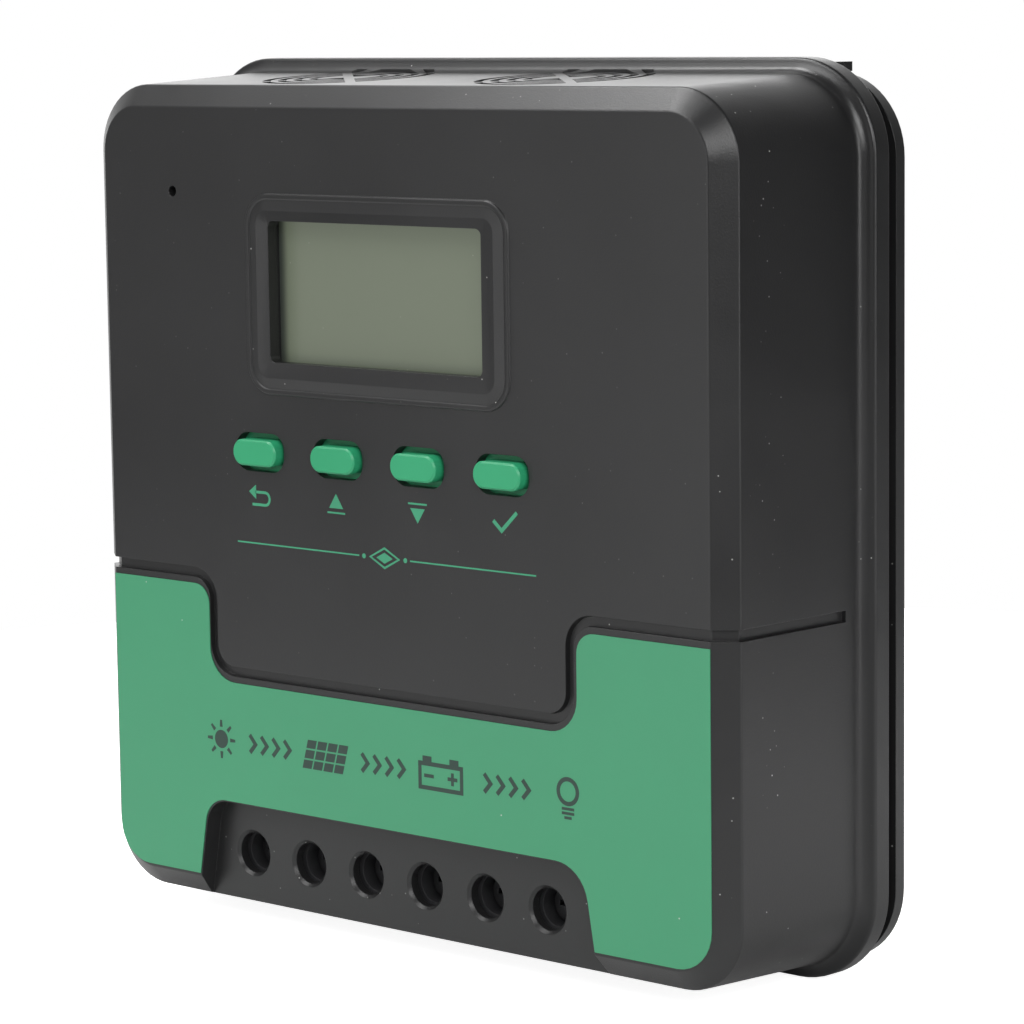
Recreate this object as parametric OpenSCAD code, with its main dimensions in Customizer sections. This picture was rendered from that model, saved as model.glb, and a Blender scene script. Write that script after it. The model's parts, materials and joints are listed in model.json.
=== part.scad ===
// Wall-mounted battery charge controller: moulded cover on a metal back plate, with display,
// four buttons, two fans and six rising-cage terminals.
// Parts are drawn flat on the wall: x to the right, y up, z out of the wall. stand() turns them upright.
// The origin is the centre of the wall plane behind the back plate.

/* [Case] */
// Width across the front's outer edge
case_w = 184; // [178:1:200]
// Height across the front's outer edge
case_h = 184; // [180:1:200]
// Distance from the wall to the front face
case_depth = 57.5; // [57.5:0.5:62]
// Corner radius at the front's outer edge
case_corner = 15; // [14:1:18]
// Wall thickness of the cover
wall = 2.5; // [2:0.1:2.8]
// Draft angle of the side walls
draft = 3.1; // [2.8:0.1:3.3]

/* [Back plate] */
// Thickness of the metal plate
plate_t = 3; // [2:0.5:3]
// Depth of the folded lips that stand the plate off the wall
lip_depth = 5.1; // [4.5:0.1:5.1]
// Distance between the left and right wall screw holes
wall_hole_dx = 166; // [164:1:168]
// Distance between the upper and lower wall screw holes
wall_hole_dy = 80; // [60:1:90]
// Diameter of a wall screw hole
wall_hole_d = 5; // [4:0.5:6]

/* [Front panel] */
// Offset of the shared centreline of display, fans and terminals
panel_x = -3.5; // [-4:0.5:-3]
// Width of the display window
window_w = 62.4; // [58:0.2:62.4]
// Height of the display window
window_h = 31; // [30:0.2:32]
// Distance between neighbouring buttons
button_pitch = 23.8; // [22:0.2:24]
// Length of a button cap
button_w = 13.2; // [12:0.2:14]
// Height of a button cap
button_h = 5.8; // [5.8:0.2:7]
// How far a button travels
button_travel = 0.5; // [0.3:0.1:0.5]

/* [Fans] */
// Side of a fan frame
fan_size = 40; // [40:1:41]
// Distance between the two fan axes
fan_pitch = 63.2; // [62:0.2:66]

/* [Terminals] */
// Distance between neighbouring terminals
pole_pitch = 17.6; // [17:0.1:18]
// Radius of a cable entry in the terminal block
entry_r = 4.5; // [4:0.1:4.5]
// Travel of a clamp from open to closed
clamp_travel = 6.4; // [4:0.1:6.5]

/* [Hidden] */
$fn = 96;

black = [0.10, 0.10, 0.11];
green = [0.20, 0.62, 0.44];
label_green = [0.24, 0.60, 0.42];
board_green = [0.08, 0.32, 0.18];
steel = [0.70, 0.71, 0.73];
gap = 0.05;                                  // air between neighbouring parts
cut = 1;                                     // how far a cutter reaches past a face

// Heights above the wall
plate_z = lip_depth;                         // rear face of the plate
floor_z = plate_z + plate_t;                 // front face of the plate
rim_z = floor_z + gap;                       // rear edge of the cover's rim
flange_z = floor_z + 2.2;                    // rear face of the flange, above a dark reveal
front_z = case_depth;                        // front face
inner_z = front_z - wall;                    // inside of the front face

// Case section, measured out from the centres of the corner arcs
half_x = case_w / 2 - case_corner;
half_y = case_h / 2 - case_corner;
bevel_in = 4.8;
bevel_back = 3.95;
bevel_z = front_z - bevel_back;
flange_out = case_corner + 5.2;
flange_h = 4.8;
cove_z = flange_z + flange_h + 4.1;
edge_r = 0.9;
function wall_out(z) = case_corner + (bevel_z - z) * tan(draft);
function wall_in(z) = wall_out(z) - wall;

// Places on the front face
window_x = panel_x - 0.4;
window_y = 47.1;
bezel_x = panel_x - 0.2;
bezel_y = 46.5;
bezel_w = 77.4;
bezel_h = 44.4;
bezel_r = 7;
bezel_top = front_z + 0.85;
window_lip = front_z + 0.35;                 // edge of the window, a little below the bezel's crest
button_x = panel_x - 0.1;
button_y = 11.4;
button_gap = 0.8;                            // air at each end of a button
button_gap_y = 1.4;                          // air above and below a button
cap_r = 2.8;
cap_z = front_z + 2.1;
led = [-65.3, 68.4];
pole_mid = panel_x - 1.1;                     // centre of the row of terminals
pole_y = -81;
driver_hole_r = 4.65;
recess_floor = front_z - 4.4;

// Boards and what stands on them
board_t = 1.6;
control_z = 43.9;
control_top = control_z + board_t;
power_z = floor_z + 5;
power_top = power_z + board_t;
power_size = [148, 70];
power_pos = [-74, -88.5];
control_size = [134, 79];
control_pos = [-75, -3];

fan_t = 10;
fan_y = 78.2;                                // underside of a fan
fan_z = front_z - 26;

function fan_x(side) = panel_x + side * fan_pitch / 2;
function pole_x(i) = pole_mid + (i - 3.5) * pole_pitch;
function key_x(i) = button_x + (i - 1.5) * button_pitch;

// Outline points [x, y, r]: each corner with r above 0 becomes an arc
function unit(v) = v / norm(v);
function corner(a, b, c, r, n) =
    let (u = unit(a - b), v = unit(c - b), half = acos(u * v) / 2)
    let (mid = b + unit(u + v) * r / sin(half), p = b + u * r / tan(half) - mid)
    let (q = b + v * r / tan(half) - mid, start = atan2(p[1], p[0]))
    let (turn = (atan2(q[1], q[0]) - start + 540) % 360 - 180)
    [for (k = [0:n]) mid + r * [cos(start + turn * k / n), sin(start + turn * k / n)]];
function xy(p) = [p[0], p[1]];
function rounded(pts, n = 6) =
    let (m = len(pts))
    [for (i = [0:m - 1]) each (pts[i][2] > 0
        ? corner(xy(pts[(i + m - 1) % m]), xy(pts[i]), xy(pts[(i + 1) % m]), pts[i][2], n)
        : [xy(pts[i])])];

module stand() {
    rotate([90, 0, 0]) children();
}

// Turns a shape drawn along z so that it runs along y from the given point
module along_y(x, y, z) {
    translate([x, y, z]) rotate([-90, 0, 0]) children();
}

module round_rect(w, h, r) {
    square([w - 2 * r, h], center = true);
    square([w, h - 2 * r], center = true);
    for (sx = [-1, 1], sy = [-1, 1]) translate([sx * (w / 2 - r), sy * (h / 2 - r)]) circle(r);
}

// Sweeps a section round a rounded rectangle; section x runs out from the corner centres
module frame_sweep(hx, hy, section) {
    for (q = [0:3])
        translate([(q == 0 || q == 3 ? 1 : -1) * hx, (q < 2 ? 1 : -1) * hy, 0])
            rotate(q * 90) rotate_extrude(angle = 90) polygon(section);
    for (turn = [0, 180]) rotate(turn) {
        translate([hx, hy, 0]) rotate([90, 0, 0]) linear_extrude(2 * hy) polygon(section);
        translate([-hx, hy, 0]) rotate([90, 0, 90]) linear_extrude(2 * hx) polygon(section);
    }
}

// ---- Cover -------------------------------------------------------------------------------

rim_out = 16.5;
web_w = 7.5;
cover_posts = [for (sx = [-1, 1], y = [-66, 4, 66]) [sx * 83, y]];
display_posts = [for (x = [-71, 55], y = [1, 72]) [x, y]];
recess_back_w = 126;

case_section = rounded([
    [0, front_z, 0],
    [case_corner - bevel_in, front_z, edge_r],
    [case_corner, bevel_z, edge_r],
    [wall_out(cove_z - 3.2), cove_z - 3.2, 3],
    [flange_out - 0.1, flange_z + flange_h, edge_r],
    [flange_out, flange_z, 0.4],
    [rim_out, flange_z, 0],
    [rim_out, rim_z, 0],
    [rim_out - 1.5, rim_z, 0],
    [rim_out - 1.5, rim_z + 2, 0],
    [wall_in(bevel_z), bevel_z - 0.6, 0],
    [wall_in(bevel_z) - 2, inner_z, 0],
    [0, inner_z, 0]]);

bezel_hx = bezel_w / 2 - bezel_r;
bezel_hy = bezel_h / 2 - bezel_r;
bezel_section = rounded([
    [0, front_z - 0.3, 0],
    [bezel_r, front_z - 0.3, 0],
    [bezel_r - 0.3, front_z + 0.5, 0.35],
    [bezel_r - 1.2, front_z + 0.45, 0.25],
    [bezel_r - 1.5, front_z + 0.25, 0.15],
    [bezel_r - 3.9, bezel_top, 0.5],
    [0, window_lip, 0]], 4);

// The moulded groove: a flat-floored channel that steps down round the middle of the front
groove_w = 2.4;
groove_deep = 1.3;
groove_y = -17.1;
groove_arc = 6;
step_y = -38.7;
step_x = [-55.1, 50.1];

// The wall on the upper side, at positive x, slopes a little more
module groove_section() {
    polygon([[-groove_w / 2, front_z + 0.2], [0.1 - groove_w / 2, front_z - groove_deep],
        [groove_w / 2 - 0.3, front_z - groove_deep], [groove_w / 2, front_z + 0.2]]);
}

module groove_level(x0, x1, y) {
    translate([x0, y, 0]) rotate([90, 0, 90]) linear_extrude(x1 - x0) groove_section();
}

module groove_upright(x, side) {
    translate([x, groove_y - groove_arc, 0]) rotate([90, 0, 0])
        linear_extrude(groove_y - step_y - 2 * groove_arc) mirror([side < 0 ? 0 : 1, 0]) groove_section();
}

module groove_bend(x, y, start, outward) {
    translate([x, y, 0]) rotate(start) rotate_extrude(angle = 90)
        translate([groove_arc, 0]) mirror([outward ? 0 : 1, 0]) groove_section();
}

module groove() {
    a = groove_arc;
    groove_level(-case_w, step_x[0] - a, groove_y);
    groove_level(step_x[0] + a, step_x[1] - a, step_y);
    groove_level(step_x[1] + a, case_w, groove_y);
    groove_upright(step_x[0], -1);
    groove_upright(step_x[1], 1);
    groove_bend(step_x[0] - a, groove_y - a, 0, true);
    groove_bend(step_x[0] + a, step_y + a, 180, false);
    groove_bend(step_x[1] - a, step_y + a, 270, false);
    groove_bend(step_x[1] + a, groove_y - a, 90, true);
}

// The groove runs on over the bevel and along both side walls, and ends blind before the flange
side_deep = 1.1;
side_end = cove_z + 1.7;
side_start = case_corner - bevel_in - 3;
side_strip = [
    [side_start, front_z + cut], [flange_out, front_z + cut], [flange_out, side_end],
    [wall_out(side_end) - side_deep, side_end], [case_corner - side_deep, bevel_z - side_deep / 2],
    [case_corner - bevel_in - side_deep / 2, front_z - groove_deep], [side_start, front_z - groove_deep]];

module side_grooves() {
    for (s = [0, 1]) mirror([s, 0, 0]) translate([half_x, groove_y + groove_w / 2, 0])
        rotate([90, 0, 0]) linear_extrude(groove_w) polygon(side_strip);
}

recess_x = panel_x + 1;
recess_top = -68.9;
recess_low = -100;                           // below the lower edge, so the recess is open there
recess_half = 55.4;
recess_flare = 5.4;                          // how much wider the recess is at its open end
recess_outline = rounded([
    [recess_x - recess_half - recess_flare, recess_low, 0], [recess_x - recess_half, recess_top, 6.5],
    [recess_x + recess_half, recess_top, 9], [recess_x + recess_half + recess_flare, recess_low, 0]], 8);

module recess() {
    translate([0, 0, recess_floor]) linear_extrude(front_z) polygon(recess_outline);
}

fan_hole = 16;                               // fan screw holes, out from the fan axis
inlet_w = 3;
inlet_h = 22;
inlet_pitch = 6;
inlet_x = 62;                                // first inlet of each group, out from the centreline

grille_slots = [18.35, 14.9, 11.45, 8];
grille_back = flange_z + flange_h + 1.2;     // the slots stop short of the flange

// Ring slots crossed by four spokes, with two openings in the middle
module fan_grille(x) {
    slot_w = 1.9;
    spoke_w = 2.2;
    reach = 22;
    along_y(x, fan_y + fan_t, fan_z) {
        difference() {
            for (r = grille_slots) difference() {
                cylinder(r = r + slot_w / 2, h = reach - 2);
                translate([0, 0, -cut]) cylinder(r = r - slot_w / 2, h = reach);
            }
            for (a = [45, 135]) rotate(a) translate([-30, -spoke_w / 2, -cut]) cube([60, spoke_w, reach]);
            translate([-30, fan_z - grille_back, -cut]) cube([60, 20, reach]);
        }
        for (a = [0, 180]) rotate(a) linear_extrude(reach - 2) polygon([[0, 1.6], [4, 5.6], [-4, 5.6]]);
    }
}

module cover_cuts() {
    translate([window_x, window_y, 0]) linear_extrude(front_z + 2) round_rect(window_w, window_h, 1.5);
    for (i = [0:3]) translate([key_x(i), button_y, inner_z - cut])
        linear_extrude(10) round_rect(button_w + 2 * button_gap, button_h + 2 * button_gap_y, 3.6);
    translate([led[0], led[1], inner_z - cut]) cylinder(r = 1.2, h = 10);
    groove();
    side_grooves();
    recess();
    for (i = [1:6]) translate([pole_x(i), pole_y, 0]) {
        translate([0, 0, recess_floor - 4]) cylinder(r = driver_hole_r, h = 10);
        translate([0, 0, recess_floor - 0.7]) cylinder(r1 = driver_hole_r, r2 = driver_hole_r + 1.4, h = 1.4);
    }
    for (s = [-1, 1]) {
        fan_grille(fan_x(s));
        for (dx = [-1, 1], dz = [-1, 1])
            along_y(fan_x(s) + dx * fan_hole, fan_y + fan_t - cut, fan_z + dz * fan_hole)
                cylinder(r = 1.45, h = 4);
    }
    // Cable opening and air inlets in the bottom wall
    along_y(pole_mid, -case_h / 2 - 4, entry_z) linear_extrude(8) round_rect(6 * pole_pitch, 10.4, 3);
    for (s = [-1, 1], k = [0:3])
        translate([panel_x + s * (inlet_x + inlet_pitch * k) - inlet_w / 2, -case_h / 2 - 4, 24])
            cube([inlet_w, 8, inlet_h]);
    for (p = cover_posts) translate([p[0], p[1], 0]) cylinder(r = 1.95, h = rim_z + 14);
    for (p = display_posts) translate([p[0], p[1], 0]) cylinder(r = 1.25, h = inner_z - 1);
}

module front_cover() {
    color(black) stand() difference() {
        union() {
            frame_sweep(half_x, half_y, case_section);
            translate([-half_x, -half_y, inner_z]) cube([2 * half_x, 2 * half_y, wall]);
            translate([bezel_x, bezel_y, 0]) {
                frame_sweep(bezel_hx, bezel_hy, bezel_section);
                translate([-bezel_hx, -bezel_hy, front_z - 0.3])
                    cube([2 * bezel_hx, 2 * bezel_hy, window_lip - front_z + 0.3]);
            }
            // Thicker floor behind the terminal recess
            translate([recess_x - recess_back_w / 2, -90, recess_floor - wall])
                cube([recess_back_w, 24, front_z - recess_floor + 0.2]);
            for (p = cover_posts) {
                translate([p[0], p[1], rim_z]) cylinder(r = 4, h = inner_z + 0.5 - rim_z);
                // Web that ties the post to the side wall
                translate([p[0] > 0 ? p[0] : p[0] - web_w, p[1] - 1, rim_z + 12]) cube([web_w, 2, 30]);
            }
            for (p = display_posts) translate([p[0], p[1], control_top + gap])
                cylinder(r = 3, h = inner_z + 0.5 - control_top - gap);
            for (s = [-1, 1], dx = [-1, 1], dz = [-1, 1])
                along_y(fan_x(s) + dx * fan_hole, fan_y + fan_t + gap, fan_z + dz * fan_hole)
                    cylinder(r = 3, h = 3.4);
        }
        cover_cuts();
    }
}

// ---- Back plate and label ------------------------------------------------------------------

plate_corner = 17.4;
plate_h = 188;
lip_w = 160.4;
lip_t = 2;
boss_r = 5.5;
wall_holes = [for (sx = [-1, 1], sy = [-1, 1]) [sx * wall_hole_dx / 2, sy * wall_hole_dy / 2]];
heatsink_holes = [for (x = [-62, 62], y = [14, 66]) [x, y]];
board_holes = [for (x = [-70, 70], y = [-84, -24]) [x, y]];

module back_plate() {
    color([0.13, 0.13, 0.14]) stand() difference() {
        union() {
            translate([0, 0, plate_z]) linear_extrude(plate_t)
                round_rect(2 * (half_x + flange_out), plate_h, plate_corner);
            // The lips are folded back towards the wall at the top and bottom edges
            for (s = [-1, 1]) translate([-lip_w / 2, s > 0 ? plate_h / 2 : -plate_h / 2 - lip_t, 0])
                cube([lip_w, lip_t, lip_depth + 1.6]);
            for (s = [-1, 1])
                translate([-lip_w / 2, s > 0 ? plate_h / 2 - lip_t : -plate_h / 2 - lip_t, plate_z])
                    cube([lip_w, 2 * lip_t, 1.6]);
            // Bosses round the wall holes stand on the wall, so that the screws don't bend the plate
            for (p = wall_holes) translate([p[0], p[1], 0])
                cylinder(r1 = boss_r, r2 = boss_r + 2, h = plate_z + 1);
        }
        for (p = wall_holes) translate([p[0], p[1], -cut])
            cylinder(r = wall_hole_d / 2, h = floor_z + 2 * cut);
        for (p = cover_posts) translate([p[0], p[1], plate_z - cut]) cylinder(r = 2.2, h = plate_t + 2 * cut);
        for (p = concat(heatsink_holes, board_holes)) translate([p[0], p[1], plate_z - cut])
            cylinder(r = 1.6, h = plate_t + 2 * cut);
    }
}

label_top = -19.7;
label_side = 87.2;
label_bottom = -86.6;
label_step = step_y - 2.6;
label_tab = [step_x[0] - 1.35, step_x[1] + 2];   // inner edges of the two upper tabs
label_gap = 0.3;                             // black left between the recess and the label
label_in = recess_half + label_gap;
label_in_low = label_in + recess_flare * (recess_top - label_bottom) / (recess_top - recess_low);
label_outline = rounded([
    [-label_side, label_top, 0], [label_tab[0], label_top, 4.5], [label_tab[0], label_step, 7.6],
    [label_tab[1], label_step, 7.6], [label_tab[1], label_top, 4.5], [label_side, label_top, 0],
    [label_side, label_bottom, 9], [recess_x + label_in_low, label_bottom, 0],
    [recess_x + label_in, recess_top + label_gap, 9],
    [recess_x - label_in, recess_top + label_gap, 6.5], [recess_x - label_in_low, label_bottom, 0],
    [-label_side, label_bottom, 9]], 8);

module front_label() {
    color(label_green) stand() translate([0, 0, front_z + 0.01]) linear_extrude(0.2) polygon(label_outline);
}

// ---- Display and control board ---------------------------------------------------------------

glass_size = [66, 36];
glass_top = front_z - 4;

module lcd_glass() {
    color([0.46, 0.50, 0.42]) stand() translate([window_x, window_y, glass_top - 1.8])
        linear_extrude(1.8) round_rect(glass_size[0], glass_size[1], 0.5);
}

module lcd_backlight() {
    color([0.85, 0.87, 0.80]) stand() translate([window_x, window_y, glass_top - 5.1])
        linear_extrude(3.2) round_rect(glass_size[0], glass_size[1], 0.5);
}

module lcd_frame() {
    color(black) stand() translate([window_x, window_y, 0]) difference() {
        translate([0, 0, control_top + gap]) linear_extrude(inner_z - 0.3 - control_top)
            round_rect(74, 43, 1.5);
        translate([0, 0, control_top + 2.6]) linear_extrude(glass_top - control_top - 2.5)
            square(glass_size + [0.2, 0.2], center = true);
        translate([0, 0, control_top + 2]) linear_extrude(20)
            square([window_w + 1.6, window_h + 1.6], center = true);
        translate([0, 0, control_top - 1]) linear_extrude(20) square([58, 28], center = true);
    }
}

module control_board() {
    color(board_green) stand() difference() {
        translate([control_pos[0], control_pos[1], control_z])
            cube([control_size[0], control_size[1], board_t]);
        for (p = display_posts) translate([p[0], p[1], control_z - cut])
            cylinder(r = 1.7, h = board_t + 2 * cut);
    }
}

module board_chips() {
    color([0.08, 0.08, 0.09]) stand() {
        translate([-40, 30, control_z - gap - 1.4]) cube([12, 12, 1.4]);
        translate([-8, 34, control_z - gap - 1.6]) cube([10, 6, 1.6]);
        translate([20, 34, control_z - gap - 1.6]) cube([10, 6, 1.6]);
        translate([-40, -50 - 8, power_top + gap]) cube([10, 8, 1.8]);
        translate([-60, -60, power_top + gap]) cube([8, 6, 1.8]);
    }
}

module status_led() {
    color([0.75, 0.90, 0.78]) stand() translate([led[0], led[1], control_top + gap]) {
        cylinder(r = 1.9, h = 1);
        cylinder(r = 1.5, h = 6.2);
        translate([0, 0, 6.2]) sphere(r = 1.5);
    }
}

// ---- Buttons ----------------------------------------------------------------------------------

switch_top = control_top + 3.5;
plunger_top = switch_top + 1.5;
plunger_z = control_top + 1.9;
plunger_r = 1.7;
collar_z = inner_z - 0.1;

module switch_bodies() {
    color([0.16, 0.16, 0.17]) stand() for (i = [0:3]) translate([key_x(i), button_y, 0]) difference() {
        translate([-3, -3, control_top + gap]) cube([6, 6, switch_top - control_top - gap]);
        translate([0, 0, plunger_z - button_travel - 0.2]) cylinder(r = plunger_r + gap, h = 10);
    }
}

module plunger(i) {
    color([0.75, 0.72, 0.66]) stand() translate([key_x(i), button_y, plunger_z])
        cylinder(r = plunger_r, h = plunger_top - plunger_z);
}

module button(i) {
    chamfer = 0.4;
    collar_t = 1.5;
    collar_reach = 0.9;                      // how far the collar reaches behind the cover
    cap_low = collar_z - collar_t;
    cap_section = [[0, cap_low], [cap_r, cap_low], [cap_r, cap_z - chamfer], [cap_r - chamfer, cap_z],
        [0, cap_z]];
    color(green) stand() translate([key_x(i), button_y, 0]) {
        frame_sweep(button_w / 2 - cap_r, button_h / 2 - cap_r, cap_section);
        translate([-button_w / 2 + cap_r, -button_h / 2 + cap_r, cap_low])
            cube([button_w - 2 * cap_r, button_h - 2 * cap_r, cap_z - cap_low]);
        translate([0, 0, cap_low]) linear_extrude(collar_t)
            round_rect(button_w + 2 * button_gap + 2 * collar_reach,
                button_h + 2 * button_gap_y + 2 * collar_reach, 2);
        translate([0, 0, plunger_top + gap]) cylinder(r = 1.6, h = collar_z - 1 - plunger_top);
    }
}

module button_escape() { button(0); }
module button_up() { button(1); }
module button_down() { button(2); }
module button_enter() { button(3); }
module plunger_escape() { plunger(0); }
module plunger_up() { plunger(1); }
module plunger_down() { plunger(2); }
module plunger_enter() { plunger(3); }

// ---- Fans -------------------------------------------------------------------------------------

hub_r = 11;
shaft_r = 1;

module fan_frame(side) {
    color([0.07, 0.07, 0.08]) stand() along_y(fan_x(side), fan_y, fan_z) {
        difference() {
            translate([0, 0, fan_t / 2]) cube([fan_size, fan_size, fan_t], center = true);
            translate([0, 0, -cut]) cylinder(r = 19.2, h = fan_t + 2 * cut);
            for (dx = [-1, 1], dz = [-1, 1]) translate([dx * fan_hole, dz * fan_hole, -cut])
                cylinder(r = 1.7, h = fan_t + 2 * cut);
        }
        cylinder(r = hub_r, h = 1.6);
        for (a = [45, 135]) rotate(a) translate([-19.6, -1.2, 0]) cube([39.2, 2.4, 1.6]);
    }
}

module impeller(side) {
    blades = 7;
    color([0.09, 0.09, 0.10]) stand() along_y(fan_x(side), fan_y, fan_z) {
        difference() {
            translate([0, 0, 2.2]) cylinder(r = hub_r, h = 7.4);
            translate([0, 0, 2.2 - cut]) cylinder(r = hub_r - 1.3, h = 7.4);
        }
        for (k = [0:blades - 1]) rotate(k * 360 / blades) intersection() {
            translate([14.3, 0, 5.9]) rotate([38, 0, 0]) cube([9, 10, 1.1], center = true);
            translate([0, 0, 2.6]) difference() {
                cylinder(r = 18.6, h = 6.6);
                translate([0, 0, -cut]) cylinder(r = hub_r - 0.4, h = 6.6 + 2 * cut);
            }
        }
    }
}

module fan_shaft(side) {
    color(steel) stand() along_y(fan_x(side), fan_y + 2, fan_z) cylinder(r = shaft_r, h = 6.55);
}

module fan_bearings() {
    color([0.72, 0.56, 0.28]) stand() for (s = [-1, 1]) along_y(fan_x(s), fan_y + 1.65, fan_z) difference() {
        cylinder(r = 2.8, h = 6.2);
        translate([0, 0, -cut]) cylinder(r = shaft_r + 0.04, h = 9);
    }
}

module fan_stators() {
    color([0.70, 0.36, 0.16]) stand() for (s = [-1, 1]) along_y(fan_x(s), fan_y + 2.4, fan_z) difference() {
        cylinder(r = 8.8, h = 4.8);
        translate([0, 0, -cut]) cylinder(r = 2.9, h = 8);
        for (a = [0:90:270]) rotate(a) translate([5, 5, -cut]) cylinder(r = 1.8, h = 8);
    }
}

module fan_screws() {
    color(steel) stand() for (s = [-1, 1], dx = [-1, 1], dz = [-1, 1])
        along_y(fan_x(s) + dx * fan_hole, fan_y - 2, fan_z + dz * fan_hole) {
            cylinder(r = 2.8, h = 2 - gap);
            cylinder(r = 1.4, h = 14.8);
        }
}

// A round wire through a list of points
module wire(points, r) {
    for (i = [0:len(points) - 2]) let (d = points[i + 1] - points[i]) translate(points[i])
        rotate([0, acos(d[2] / norm(d)), atan2(d[1], d[0])]) cylinder(r = r, h = norm(d), $fn = 24);
    for (i = [1:len(points) - 2]) translate(points[i]) sphere(r = r, $fn = 24);
}

module fan_cables() {
    color([0.55, 0.10, 0.10]) stand() for (s = [-1, 1]) {
        translate([fan_x(s) - 4, 66, control_z - gap - 5]) cube([8, 5, 5]);
        for (x = [fan_x(s) - 1.3, fan_x(s) + 1.3])
            wire([[x, 70, control_z - 3], [x, 74, control_z - 4], [x, 76.2, control_z - 10],
                [x, fan_y - gap - 0.7, fan_z + 3]], 0.7);
    }
}

// ---- Terminals ----------------------------------------------------------------------------------

block_bottom = -89;
block_top = -66;
block_z = power_top + gap;
block_front = 49.5;
entry_z = 24.6;
cage_w = 12.2;
cage_z = 17;
cage_h = 18;
bar_z = 29.6;
bar_t = 2;
chamber_y = [-86.8, -75.2];
screw_r = 2.5;
head_r = 3.9;
head_z = 43.2;
head_h = 3;

module terminal_block() {
    color([0.12, 0.12, 0.13]) stand() difference() {
        translate([pole_mid - 3 * pole_pitch - 2, block_bottom, block_z])
            cube([6 * pole_pitch + 4, block_top - block_bottom, block_front - block_z]);
        for (i = [1:6]) translate([pole_x(i), 0, 0]) {
            translate([-cage_w / 2 - 0.1, chamber_y[0], cage_z - 0.3])
                cube([cage_w + 0.2, chamber_y[1] - chamber_y[0], cage_h + clamp_travel + 1.5]);
            translate([0, pole_y, 20]) cylinder(r = screw_r + 0.2, h = 30);
            translate([0, pole_y, head_z - gap]) cylinder(r = head_r + 0.4, h = 10);
            along_y(0, block_bottom - cut, entry_z) cylinder(r = entry_r, h = 4);
            // Slot for the current bar, open at the top edge of the block
            translate([-4.1, chamber_y[1] - cut, bar_z - 0.1]) cube([8.2, 14, bar_t + 0.2]);
            translate([-4.1, block_top - 4.1, block_z - cut]) cube([8.2, 5, bar_z - block_z + bar_t + cut]);
        }
    }
}

module current_bars() {
    color([0.76, 0.50, 0.26]) stand() for (i = [1:6]) translate([pole_x(i) - 4, 0, 0]) {
        translate([0, -86, bar_z]) cube([8, 86 + block_top - 2, bar_t]);
        translate([0, block_top - 4, block_z]) cube([8, 2, bar_z - block_z + 1]);
    }
}

module terminal_screw(i) {
    color(steel) stand() translate([pole_x(i), pole_y, 0]) difference() {
        union() {
            translate([0, 0, bar_z + bar_t + 0.1]) cylinder(r = screw_r, h = head_z - bar_z - bar_t);
            translate([0, 0, head_z]) cylinder(r = head_r, h = head_h);
        }
        translate([-0.6, -head_r - cut, head_z + head_h - 1.4]) cube([1.2, 2 * head_r + 2 * cut, 3]);
        translate([-2.4, -0.6, head_z + head_h - 1.4]) cube([4.8, 1.2, 3]);
    }
}

module clamp(i) {
    depth = chamber_y[1] - chamber_y[0] - 0.4;
    color([0.74, 0.72, 0.66]) stand() translate([pole_x(i), chamber_y[0] + 0.2, cage_z]) difference() {
        translate([-cage_w / 2, 0, 0]) cube([cage_w, depth, cage_h]);
        translate([-4.6, -cut, 2.4]) cube([9.2, depth + 2 * cut, cage_h - 5.4]);
        translate([0, pole_y - chamber_y[0] - 0.2, 10]) cylinder(r = screw_r + gap, h = 20);
    }
}

module terminal_screw_1() { terminal_screw(1); }
module terminal_screw_2() { terminal_screw(2); }
module terminal_screw_3() { terminal_screw(3); }
module terminal_screw_4() { terminal_screw(4); }
module terminal_screw_5() { terminal_screw(5); }
module terminal_screw_6() { terminal_screw(6); }
module clamp_1() { clamp(1); }
module clamp_2() { clamp(2); }
module clamp_3() { clamp(3); }
module clamp_4() { clamp(4); }
module clamp_5() { clamp(5); }
module clamp_6() { clamp(6); }

// ---- Power stage -----------------------------------------------------------------------------------

sink_base = 4;
sink_top = floor_z + gap + sink_base;
fet_x = [for (k = [0:5]) -50 + 20 * k];

module power_board() {
    color(board_green) stand() difference() {
        translate([power_pos[0], power_pos[1], power_z]) cube([power_size[0], power_size[1], board_t]);
        for (p = board_holes) translate([p[0], p[1], power_z - cut]) cylinder(r = 1.7, h = board_t + 2 * cut);
    }
}

module board_standoffs() {
    color([0.72, 0.56, 0.28]) stand() for (p = board_holes)
        translate([p[0], p[1], floor_z + gap]) difference() {
            cylinder(r = 3, h = power_z - floor_z - 2 * gap);
            translate([0, 0, -cut]) cylinder(r = 1.6, h = 10);
        }
}

module board_screws() {
    color(steel) stand() for (p = board_holes) translate([p[0], p[1], 0]) {
        translate([0, 0, power_top + gap]) cylinder(r = 2.8, h = 2);
        translate([0, 0, plate_z + 0.3]) cylinder(r = 1.5, h = power_top - plate_z);
    }
}

module heatsink() {
    fins = 20;
    fin_pitch = 7;
    color([0.78, 0.79, 0.80]) stand() difference() {
        union() {
            translate([-70, -13, floor_z + gap]) cube([140, 85, sink_base]);
            for (k = [0:fins - 1]) translate([-68 + k * fin_pitch, 11, sink_top - 0.5]) cube([2, 61, 22]);
        }
        for (p = heatsink_holes) translate([p[0], p[1], floor_z - 1]) cylinder(r = 1.55, h = 3.6);
        for (x = fet_x) translate([x, 2.3, sink_top - 3]) cylinder(r = 1.55, h = 5);
    }
}

module heatsink_screws() {
    color(steel) stand() for (p = heatsink_holes) translate([p[0], p[1], plate_z - 2]) {
        cylinder(r = 2.8, h = 2 - gap);
        cylinder(r = 1.5, h = 7.2);
    }
}

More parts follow.
